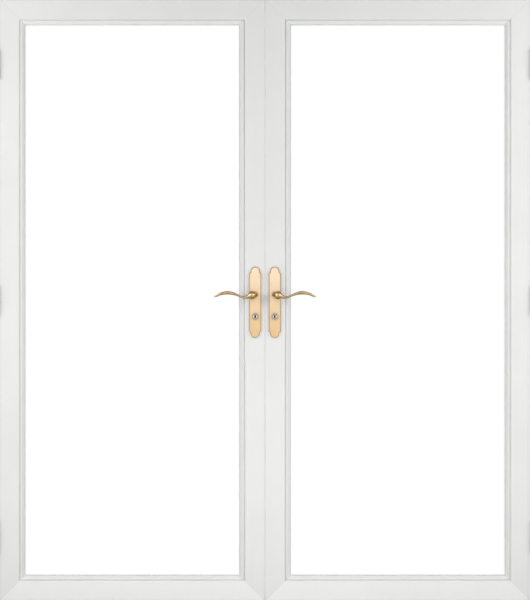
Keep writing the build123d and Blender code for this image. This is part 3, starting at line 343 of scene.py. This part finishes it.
# Leaf bars and glazing beads: the same white coat on mitred aluminium bars.
# A hairline shows at each mitre, and the bottom rail is painted a shade paler as painted light.
# Hands polish the coat beside the levers.
LEAF_WHITES = ((0.796, 0.795, 0.787), (0.820, 0.819, 0.812))
LEAF_MID_X = 0.4495
LEAF_MID_Z = 1.046
LEAF_HALF_W = 0.4475
LEAF_HALF_H = 1.016
RAIL_PAINTED_LIGHT = 0.35
PALEST = (1.0, 1.0, 1.0)
MITRE_EDGES = (0.0002, 0.0008)
MITRE_SHOWS = 0.35
MITRE_TONE = (0.40, 0.395, 0.38)
MITRE_DEEP = 0.0004
MITRE_STRENGTH = 0.6
LEVER_Z = 1.064
HANDLED_X = (0.03, 0.16)
HANDLED_Z = (0.05, 0.30)
HANDLED_POLISH = 0.08


def away_from(tree, value, middle):
    """How far a value lies from a middle, on either side."""
    return calc(tree, "ABSOLUTE", calc(tree, "SUBTRACT", value, middle))


leaf_white, tree, shader, place, tone, gloss, peel = powder_coat("leaf_coat", LEAF_WHITES)
axes = axes_of(tree, place)
side_x = calc(tree, "ABSOLUTE", axes["X"])
from_side = calc(tree, "SUBTRACT", LEAF_HALF_W, away_from(tree, side_x, LEAF_MID_X))
from_end = calc(tree, "SUBTRACT", LEAF_HALF_H, away_from(tree, axes["Z"], LEAF_MID_Z))
mitre = spread(tree, away_from(tree, from_side, from_end), *MITRE_EDGES, 1.0, 0.0)
# Painted light: the bottom rail is painted a shade paler, towards white.
on_rail = calc(tree, "GREATER_THAN", from_side, from_end)
low_rail_painted_light = calc(tree, "MULTIPLY", on_rail, calc(tree, "LESS_THAN", axes["Z"], LEAF_MID_Z))
rail_painted_light = tinted(tree, calc(tree, "MULTIPLY", low_rail_painted_light, RAIL_PAINTED_LIGHT), tone, PALEST)
lined = tinted(tree, calc(tree, "MULTIPLY", mitre, MITRE_SHOWS), rail_painted_light, MITRE_TONE)
coloured(tree, shader, lined)
by_edge = spread(tree, side_x, *HANDLED_X, 1.0, 0.0)
by_lever = spread(tree, away_from(tree, axes["Z"], LEVER_Z), *HANDLED_Z, 1.0, 0.0)
handled = calc(tree, "MULTIPLY", by_edge, by_lever)
polished = calc(tree, "SUBTRACT", gloss, calc(tree, "MULTIPLY", handled, HANDLED_POLISH))
tree.links.new(polished, shader.inputs["Roughness"])
groove = add(tree, "Bump", {"invert": True}, Height=mitre, Distance=MITRE_DEEP,
             Strength=MITRE_STRENGTH, Normal=peel)
tree.links.new(groove.outputs[0], shader.inputs["Normal"])
dress(leaf_white, *pair("hinge_stile", "meeting_stile", "top_rail", "bottom_rail", "glazing_beads"))

# Corner cleats and pane spacers: plain extruded aluminium, hidden in the mitres and by the beads.
# The spacer's inner face has the fine perforation that lets its drying beads breathe; its holes are
# painted dark as painted shade.
CLEAT_GREYS = ((0.56, 0.56, 0.56), (0.66, 0.66, 0.66))
CLEAT_CLOUD = 30.0
CLEAT_GRAIN = (300.0, 3.0)
CLEAT_GLOSS = (0.35, 0.55)
CLEAT_LINES = ((500.0, 20.0, 500.0), 2.0)
CLEAT_RELIEF = (0.0001, 0.4)
SPACER_HOLES = (500.0, 250.0, 500.0)
SPACER_HOLE_EDGES = (0.10, 0.18)
SPACER_GREYS = ((0.25, 0.25, 0.25), (0.68, 0.68, 0.68))
SPACER_GRAIN = (200.0, 2.0)
SPACER_GLOSS = (0.3, 0.45)
SPACER_RELIEF = (0.0002, 0.6)
cleat_metal, tree, shader, place = new_material("cleat_metal", 1.0)
coloured(tree, shader, clouded(tree, place, CLEAT_GREYS, CLEAT_CLOUD))
glossed(tree, shader, noise(tree, place, *CLEAT_GRAIN), CLEAT_GLOSS)
bumped(tree, shader, drawn_out(tree, place, *CLEAT_LINES), *CLEAT_RELIEF)
dress(cleat_metal, *pair("corner_cleats"))

spacer_metal, tree, shader, place = new_material("spacer_metal", 1.0)
grid = add(tree, "Mapping", Vector=place, Scale=SPACER_HOLES).outputs[0]
dots = add(tree, "TexVoronoi", Vector=grid, Scale=1.0, Randomness=0.0).outputs["Distance"]
pits = spread(tree, dots, *SPACER_HOLE_EDGES, 0.0, 1.0)
# Painted shade: the holes are painted dark grey, as the shade inside them.
coloured(tree, shader, tinted(tree, pits, *SPACER_GREYS))
glossed(tree, shader, noise(tree, place, *SPACER_GRAIN), SPACER_GLOSS)
bumped(tree, shader, pits, *SPACER_RELIEF)
dress(spacer_metal, *pair("pane_spacer"))

# Glazing: two clear float panes in each leaf, bedded in pale grey gaskets.
# The glass is polished and nearly colourless, with the slightest waviness and a breath of dust.
GLASS_IOR = 1.46
GLASS_TONE = (1.0, 1.0, 1.0, 1.0)
GLASS_TINT = (0.95, 0.96, 0.955, 1.0)
GLASS_BLOOM = (4.0, 4.0)
GLASS_BLOOM_BAND = (0.45, 0.75)
GLASS_GLOSS = (0.0, 0.012)
GLASS_WAVES = (2.2, 1.0)
GLASS_RELIEF = (0.0002, 0.2)
GASKET_GREYS = ((0.64, 0.655, 0.67), (0.72, 0.735, 0.75))
clear_glass, tree, shader, place = new_material("glass")
shader.inputs["Transmission Weight"].default_value = 1.0
shader.inputs["IOR"].default_value = GLASS_IOR
shader.inputs["Base Color"].default_value = GLASS_TONE
glossed(tree, shader, noise(tree, place, *GLASS_BLOOM), GLASS_GLOSS, GLASS_BLOOM_BAND)
bumped(tree, shader, noise(tree, place, *GLASS_WAVES), *GLASS_RELIEF)
path = add(tree, "LightPath").outputs
through = calc(tree, "MAXIMUM", path["Is Shadow Ray"], path["Is Diffuse Ray"])
clear = add(tree, "BsdfTransparent", Color=GLASS_TINT)
both = add(tree, "MixShader", i0=through, i1=shader.outputs[0], i2=clear.outputs[0])
tree.links.new(both.outputs[0], tree.nodes["Material Output"].inputs["Surface"])
dress(clear_glass, *pair("outer_pane", "inner_pane"))
dress(rubber("gasket_rubber", GASKET_GREYS), *pair("glazing_gaskets"))

# Handle plates: cast brass with lobed ends, satin brushed along their length and lacquered.
# The bevelled rim and the roots of the collars, turned from the front, are painted darker as painted
# shade.
PLATE_TONES = ((0.775, 0.535, 0.28), (0.915, 0.73, 0.525))
# Rim tones: painted shade for faces turned from the front.
PLATE_RIM_SHADE = (0.52, 0.37, 0.20)
PLATE_GLOSS = (0.32, 0.46)
PLATE_SCREW_TONES = ((0.78, 0.54, 0.28), (0.88, 0.67, 0.42))
PLATE_SCREW_RIM_SHADE = (0.40, 0.27, 0.13)
PLATE_SCREW_GLOSS = (0.28, 0.42)
PLATE_ENDS = (0.918, 1.158)
LACQUER = 0.15
LACQUER_ROUGH = 0.25
BRASS_CLOUD = 30.0
PATCH_SWING = (-0.15, 0.15)
RIM_BAND = (0.70, 0.97)
BRUSH_LINES = ((2600.0, 2600.0, 40.0), 3.0)
BRUSH_RELIEF = (0.00004, 0.5)


def satin_brass(name, tones, rim_shade, gloss):
    """Satin lacquered brass brushed along Z: painted light towards the top, painted shade where it
    turns away.
    """
    made, tree, shader, place = new_material(name, 1.0)
    shader.inputs["Coat Weight"].default_value = LACQUER
    shader.inputs["Coat Roughness"].default_value = LACQUER_ROUGH
    cloud = noise(tree, place, BRASS_CLOUD, *CLOUD_DETAIL)
    # Painted light: the tone is painted paler towards the top of the plate.
    height = spread(tree, axes_of(tree, place)["Z"], *PLATE_ENDS, 0.0, 1.0)
    paler = calc(tree, "ADD", height, spread(tree, cloud, *CLOUD_BAND, *PATCH_SWING))
    facing = axes_of(tree, add(tree, "TexCoord").outputs["Normal"])["Y"]
    # Painted shade: faces turned from the front are painted in the darker rim shade.
    turned = spread(tree, calc(tree, "ABSOLUTE", facing), *RIM_BAND, 1.0, 0.0)
    coloured(tree, shader, tinted(tree, turned, tinted(tree, paler, *tones), rim_shade))
    brushed = drawn_out(tree, place, *BRUSH_LINES)
    glossed(tree, shader, brushed, gloss)
    bumped(tree, shader, brushed, *BRUSH_RELIEF)
    return made


plate_brass = satin_brass("plate_brass", PLATE_TONES, PLATE_RIM_SHADE, PLATE_GLOSS)
screw_brass = satin_brass("screw_brass", PLATE_SCREW_TONES, PLATE_SCREW_RIM_SHADE, PLATE_SCREW_GLOSS)
dress(plate_brass, *pair("outside_plate", "inside_plate"))
dress(screw_brass, *pair("plate_screws"))

# Levers and thumbturns: cast brass with an antique finish, painted shade below and at the edges,
# patina in the hollows.
# Each lever is one casting: shank, slanted neck, round elbow and a waved grip to a thin tip.
ANTIQUE_TONES = ((0.485, 0.315, 0.135), (0.695, 0.50, 0.255))
ANTIQUE_CLOUD = 70.0
ANTIQUE_GRAIN = (220.0, 3.0)
ANTIQUE_GLOSS = (0.26, 0.36)
# Dark tone: painted shade below and at the edges, patina in the creases.
PATINA_AND_SHADE_TONE = (0.11, 0.065, 0.024)
SHADE_PATCHES = (160.0, 4.0)
UNDER_BAND = (-0.95, 0.0)
UNDER_MOST = 0.7
TURNED_BAND = (0.20, 0.85)
TURNED_MOST = 0.85
CREASE_BAND = (0.42, 0.49)
CREASE_MOST = 0.9
CAST_SKIN = (500.0, 3.0)
CAST_RELIEF = (0.0001, 0.15)
LEAF_HALF_T = 0.022
SPINDLE = Vector((-0.033, -0.057, LEVER_Z))
SHANK_R = 0.008
SHANK_IN = -0.001
SHANK_OUT = -0.022
SHANK_ROOT_EASE = 0.0006
SHANK_END_EASE = 0.001
NECK_START = SPINDLE + Vector((0.0, -0.019, 0.0))
NECK_R = 0.0072
ELBOW = SPINDLE + Vector((-0.0115, -0.042, -0.0017))
ELBOW_R = 0.0137
ELBOW_START = 0.18
ELBOW_STEPS = 16
GRIP_REACH = 0.139
GRIP_OUT = 0.045
GRIP_RISE = 0.007
GRIP_THICK = 0.013
GRIP_DEEP = 0.014
# Along the grip: share of the reach, of the rise, of the thickness and of the depth.
GRIP_STATIONS = (
    (0.13, -0.45, 1.30, 1.25),
    (0.20, -1.06, 0.95, 0.95),
    (0.30, -1.22, 0.60, 0.78),
    (0.42, -0.32, 0.58, 0.78),
    (0.56, 0.64, 0.80, 0.90),
    (0.69, 0.91, 0.90, 1.00),
    (0.83, 0.44, 0.70, 0.88),
    (0.93, -0.50, 0.50, 0.66),
    (1.00, -1.08, 0.32, 0.40),
)
GRIP_STEPS = 8
LEVER_RING = 32
LEVER_VOXEL = 0.0007
LEVER_EASE = 0.5
LEVER_EASE_ROUNDS = 4


def antique_brass(name):
    """Antique brass: painted shade below and at the edges turned from the front, brown patina in the
    creases.
    """
    made, tree, shader, place = new_material(name, 1.0)
    facing = axes_of(tree, add(tree, "TexCoord").outputs["Normal"])
    pointed = add(tree, "NewGeometry").outputs["Pointiness"]
    patch = spread(tree, noise(tree, place, *SHADE_PATCHES), *CLOUD_BAND, *PATCH_SWING)
    # Painted shade: undersides are painted towards the dark tone.
    under = spread(tree, calc(tree, "ADD", facing["Z"], patch), *UNDER_BAND, UNDER_MOST, 0.0)
    front = calc(tree, "ADD", calc(tree, "ABSOLUTE", facing["Y"]), patch)
    # Painted shade: edges turned from the front are painted dark.
    turned = spread(tree, front, *TURNED_BAND, TURNED_MOST, 0.0)
    # Patina: the creases are darkened brown.
    crease = spread(tree, pointed, *CREASE_BAND, CREASE_MOST, 0.0)
    shade_and_patina = calc(tree, "MAXIMUM", calc(tree, "MAXIMUM", under, turned), crease)
    bare_brass = clouded(tree, place, ANTIQUE_TONES, ANTIQUE_CLOUD)
    coloured(tree, shader, tinted(tree, shade_and_patina, bare_brass, PATINA_AND_SHADE_TONE))
    glossed(tree, shader, noise(tree, place, *ANTIQUE_GRAIN), ANTIQUE_GLOSS)
    bumped(tree, shader, noise(tree, place, *CAST_SKIN), *CAST_RELIEF)
    return made


def skin(mesh, rings):
    """Faces between rings of points, closed at both ends."""
    made = [[mesh.verts.new(spot) for spot in ring] for ring in rings]
    for near, far in zip(made, made[1:]):
        band(mesh, near, far)
    mesh.faces.new(made[0])
    mesh.faces.new(made[-1][::-1])


def ring_of(centre, wide, tall, half_wide, half_tall):
    """Points of an oval about a centre, on two directions."""
    turns = [FULL_TURN * step / LEVER_RING for step in range(LEVER_RING)]
    return [
        centre + wide * (half_wide * math.cos(turn)) + tall * (half_tall * math.sin(turn))
        for turn in turns
    ]


def smooth_row(stations, at):
    """A row of values between stations, on a smooth curve through them."""
    first = min(int(at), len(stations) - 2)
    share = at - first
    rows = [stations[max(0, min(len(stations) - 1, first + step))] for step in (-1, 0, 1, 2)]
    return [
        0.5 * (2 * b + (c - a) * share + (2 * a - 5 * b + 4 * c - d) * share ** 2
               + (3 * b - a - 3 * c + d) * share ** 3)
        for a, b, c, d in zip(*rows)
    ]


def shank_rings():
    """The round shank that turns in the plate's collar."""
    ends = (
        (SHANK_IN, SHANK_ROOT_EASE),
        (SHANK_IN - SHANK_ROOT_EASE, 0.0),
        (SHANK_OUT + SHANK_END_EASE, 0.0),
        (SHANK_OUT, SHANK_END_EASE),
    )
    return [
        ring_of(SPINDLE + ALONG_Y * out, ALONG_X, ALONG_Z, SHANK_R - cut, SHANK_R - cut)
        for out, cut in ends
    ]


def elbow_rings():
    """The slanted neck and the ball that it runs into."""
    lean = (ELBOW - NECK_START).normalized()
    wide = lean.cross(ALONG_Z).normalized()
    tall = wide.cross(lean)
    rings = [ring_of(NECK_START, wide, tall, NECK_R, NECK_R)]
    for step in range(1, ELBOW_STEPS):
        turn = math.pi * (ELBOW_START + (1.0 - ELBOW_START) * step / ELBOW_STEPS)
        radius = ELBOW_R * math.sin(turn)
        rings.append(ring_of(ELBOW - lean * ELBOW_R * math.cos(turn), wide, tall, radius, radius))
    return rings


def grip_rings():
    """The waved grip, square to its own run at every ring."""
    last = (len(GRIP_STATIONS) - 1) * GRIP_STEPS
    rows = [smooth_row(GRIP_STATIONS, step / GRIP_STEPS) for step in range(last + 1)]
    spots = [
        SPINDLE + Vector((-reach * GRIP_REACH, -GRIP_OUT, rise * GRIP_RISE))
        for reach, rise, _, _ in rows
    ]
    rings = []
    for order, (_, _, thick, deep) in enumerate(rows):
        run = (spots[min(order + 1, last)] - spots[max(order - 1, 0)]).normalized()
        halves = (deep * GRIP_DEEP / 2.0, thick * GRIP_THICK / 2.0)
        rings.append(ring_of(spots[order], ALONG_Y, run.cross(ALONG_Y), *halves))
    return rings


def lever_casting(name, flip_side, flip_face, body):
    """One lever: its parts skinned, then fused and smoothed into one casting."""
    mesh = bmesh.new()
    for rings in (shank_rings(), elbow_rings(), grip_rings()):
        skin(mesh, rings)
    for vert in mesh.verts:
        if flip_face:
            vert.co.y = 2.0 * (SPINDLE.y + LEAF_HALF_T) - vert.co.y
        if flip_side:
            vert.co.x = -vert.co.x
    casting = piece_from(mesh, name, lever_brass, body)
    fused = casting.modifiers.new("fused", "REMESH")
    fused.mode = "VOXEL"
    fused.voxel_size = LEVER_VOXEL
    fused.use_smooth_shade = True
    eased = casting.modifiers.new("eased", "SMOOTH")
    eased.factor = LEVER_EASE
    eased.iterations = LEVER_EASE_ROUNDS
    return casting


lever_brass = antique_brass("lever_brass")
dress(antique_brass("turn_brass"), *pair("thumbturn"))
for side, flip_side in (("left", False), ("right", True)):
    for face, flip_face in (("outside", False), ("inside", True)):
        name = f"{side}_{face}_lever_casting"
        casting = lever_casting(name, flip_side, flip_face, f"{side}_lever")
        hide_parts(f"{side}_{face}_lever")

# Lock cylinders: chrome-plated brass, polished face, with a satin plug and a dark keyway.
# Fine turning rings run round the face and the key scratches the plug; painted shade fills the
# keyway, and the face is darkened round it.
KEY_X = 0.033
KEY_Z = 0.990
KEY_FACE_Y = -0.0703
KEYWAY_HALF_W = 0.0023
KEYWAY_HALF_H = 0.0044
CHROME_TONES = ((0.95, 0.95, 0.95), (0.9975, 0.9975, 0.9975))
CHROME_CLOUD = 120.0
CYLINDER_GLOSS = (0.10, 0.18)
PLUG_GLOSS = (0.16, 0.30)
KEYWAY_DARK_TONE = (0.02, 0.018, 0.015)
KEYWAY_DARK_WIDE = 0.0024
KEYWAY_DARK_MOST = 0.9
BEHIND_FACE = (0.0001, 0.0004)
LATHE_RINGS = 14000.0
LATHE_RELIEF = (0.00001, 0.3)
SCRATCHES = (400.0, 4.0)
SCRATCH_BAND = (0.35, 0.7)


def length_of(tree, first, second):
    """The length of the longest side of a right-angled triangle, from the other two."""
    squares = [calc(tree, "MULTIPLY", side, side) for side in (first, second)]
    return calc(tree, "POWER", calc(tree, "ADD", *squares), 0.5)


def turned_chrome(name, gloss):
    """Plated brass turned in a lathe: faint rings about its axis, scratches, painted shade behind its
    face, darker round the keyway.
    """
    made, tree, shader, place = new_material(name, 1.0)
    axes = axes_of(tree, place)
    # Painted shade: all behind the face is painted near black, as the shade in the keyway.
    behind = [KEY_FACE_Y + depth for depth in BEHIND_FACE]
    inside = spread(tree, axes["Y"], *behind, 0.0, 1.0)
    across = away_from(tree, calc(tree, "ABSOLUTE", axes["X"]), KEY_X)
    along = away_from(tree, axes["Z"], KEY_Z)
    # Round the keyway the face is darkened in a band.
    off_side = calc(tree, "SUBTRACT", across, KEYWAY_HALF_W)
    off_end = calc(tree, "SUBTRACT", along, KEYWAY_HALF_H)
    beside = calc(tree, "MAXIMUM", off_side, off_end)
    dark = calc(tree, "MAXIMUM", inside, spread(tree, beside, 0.0, KEYWAY_DARK_WIDE, KEYWAY_DARK_MOST, 0.0))
    plated = clouded(tree, place, CHROME_TONES, CHROME_CLOUD)
    coloured(tree, shader, tinted(tree, dark, plated, KEYWAY_DARK_TONE))
    radius = length_of(tree, across, along)
    rings = calc(tree, "SINE", calc(tree, "MULTIPLY", radius, LATHE_RINGS))
    marks = noise(tree, place, *SCRATCHES)
    glossed(tree, shader, marks, gloss, SCRATCH_BAND)
    bumped(tree, shader, calc(tree, "ADD", rings, marks), *LATHE_RELIEF)
    return made


dress(turned_chrome("cylinder_chrome", CYLINDER_GLOSS), *pair("cylinder_body"))
dress(turned_chrome("plug_chrome", PLUG_GLOSS), *pair("cylinder_plug"))

# Floor: a pale matt floor that takes the doors' shadow and fades to white a little way off.
# The fade is an oval about the doors, and metal and glass see it as the camera does.
FLOOR_HALF = 12.0
FLOOR_Z = -0.0005
FLOOR_TONE = (0.86, 0.86, 0.85, 1.0)
FLOOR_PATCHES = (3.0, 3.0)
FLOOR_GLOSS = (0.55, 0.7)
FADE_BAND = (0.40, 1.0)
FADE_X = 1.75
FADE_Y = 1.05
WHITE = (1.0, 1.0, 1.0, 1.0)
bpy.ops.mesh.primitive_plane_add(size=2.0 * FLOOR_HALF, location=(0.0, 0.0, FLOOR_Z))
floor = bpy.context.object
floor.name = "floor"
floor_pale, tree, shader, place = new_material("floor_pale")
shader.inputs["Base Color"].default_value = FLOOR_TONE
glossed(tree, shader, noise(tree, place, *FLOOR_PATCHES), FLOOR_GLOSS)
axes = axes_of(tree, place)
wide = calc(tree, "DIVIDE", axes["X"], FADE_X)
deep = calc(tree, "DIVIDE", axes["Y"], FADE_Y)
far_off = spread(tree, length_of(tree, wide, deep), *FADE_BAND, 0.0, 1.0)
path = add(tree, "LightPath").outputs
seen = calc(tree, "MAXIMUM", path["Is Camera Ray"], path["Is Glossy Ray"])
seen = calc(tree, "MAXIMUM", seen, path["Is Transmission Ray"])
white = add(tree, "Emission", Color=WHITE, Strength=1.0)
faded = add(tree, "MixShader", i0=calc(tree, "MULTIPLY", seen, far_off), i1=shader.outputs[0],
            i2=white.outputs[0])
tree.links.new(faded.outputs[0], tree.nodes["Material Output"].inputs["Surface"])
floor.data.materials.append(floor_pale)

# Light: a white surround that lights the doors softly, and a large lamp at each side.
# A weak lamp stands low in front, and one high up lights the back.
# Polished metal mirrors a white room in front and behind, and darker walls at the sides.
SURROUND = 0.28
SIDES_SEEN = 0.12
FRONT_BAND = (-0.55, -0.05)
BACK_BAND = (0.35, 0.90)
# Each lamp: its name, place, aim, width, height and power in watts.
LAMPS = (
    ("left_light", (-2.2, -1.6, 1.72), (-0.75, -0.05, 1.36), 2.0, 1.5, 33.5),
    ("right_light", (2.2, -1.6, 1.72), (0.75, -0.05, 1.36), 2.0, 1.5, 33.5),
    ("front_light", (0.0, -1.5, 0.5), (0.0, -0.05, 0.65), 0.8, 0.6, 3.7),
    ("back_light", (0.0, 3.0, 2.90), (0.0, 0.0, 1.00), 2.6, 1.6, 88.0),
)
MIRRORED_LAMPS = ("left_light", "right_light")
world = bpy.data.worlds.new("white_surround")
bpy.context.scene.world = world
world.use_nodes = True
tree = world.node_tree
backdrop = tree.nodes["Background"]
backdrop.inputs["Color"].default_value = WHITE
path = add(tree, "LightPath").outputs
seen = calc(tree, "MAXIMUM", path["Is Camera Ray"], path["Is Transmission Ray"])
towards = axes_of(tree, add(tree, "TexCoord").outputs["Generated"])["Y"]
in_front = spread(tree, towards, *FRONT_BAND, 1.0, SIDES_SEEN)
at_back = spread(tree, towards, *BACK_BAND, SIDES_SEEN, 1.0)
mirrored = calc(tree, "MAXIMUM", in_front, at_back)
unseen = spread(tree, path["Is Glossy Ray"], 0.0, 1.0, SURROUND, mirrored)
tree.links.new(calc(tree, "MAXIMUM", seen, unseen), backdrop.inputs["Strength"])

for name, spot, aim, wide, tall, power in LAMPS:
    lamp = bpy.data.lights.new(name, "AREA")
    lamp.shape = "RECTANGLE"
    lamp.size = wide
    lamp.size_y = tall
    lamp.energy = power
    light = bpy.data.objects.new(name, lamp)
    light.location = spot
    light.rotation_euler = (Vector(aim) - light.location).to_track_quat("-Z", "Y").to_euler()
    light.visible_glossy = name in MIRRORED_LAMPS
    light.visible_transmission = False
    bpy.context.scene.collection.objects.link(light)

# Camera: straight in front of the leaves, at half their height, so that they fill the picture.
# It stands far off with a long lens, which keeps the view square on.
CAMERA_FAR = 40.0
FACE_Y = -0.057
VIEW_HIGH = 2.030
SENSOR_HIGH = 24.0
camera_data = bpy.data.cameras.new("camera")
camera_data.sensor_fit = "VERTICAL"
camera_data.sensor_height = SENSOR_HIGH
camera_data.lens = SENSOR_HIGH * CAMERA_FAR / VIEW_HIGH
camera = bpy.data.objects.new("camera", camera_data)
camera.location = (0.0, FACE_Y - CAMERA_FAR, LEAF_MID_Z)
camera.rotation_euler = (math.pi / 2.0, 0.0, 0.0)
bpy.context.scene.collection.objects.link(camera)
bpy.context.scene.camera = camera
bpy.context.scene.view_settings.view_transform = "Standard"
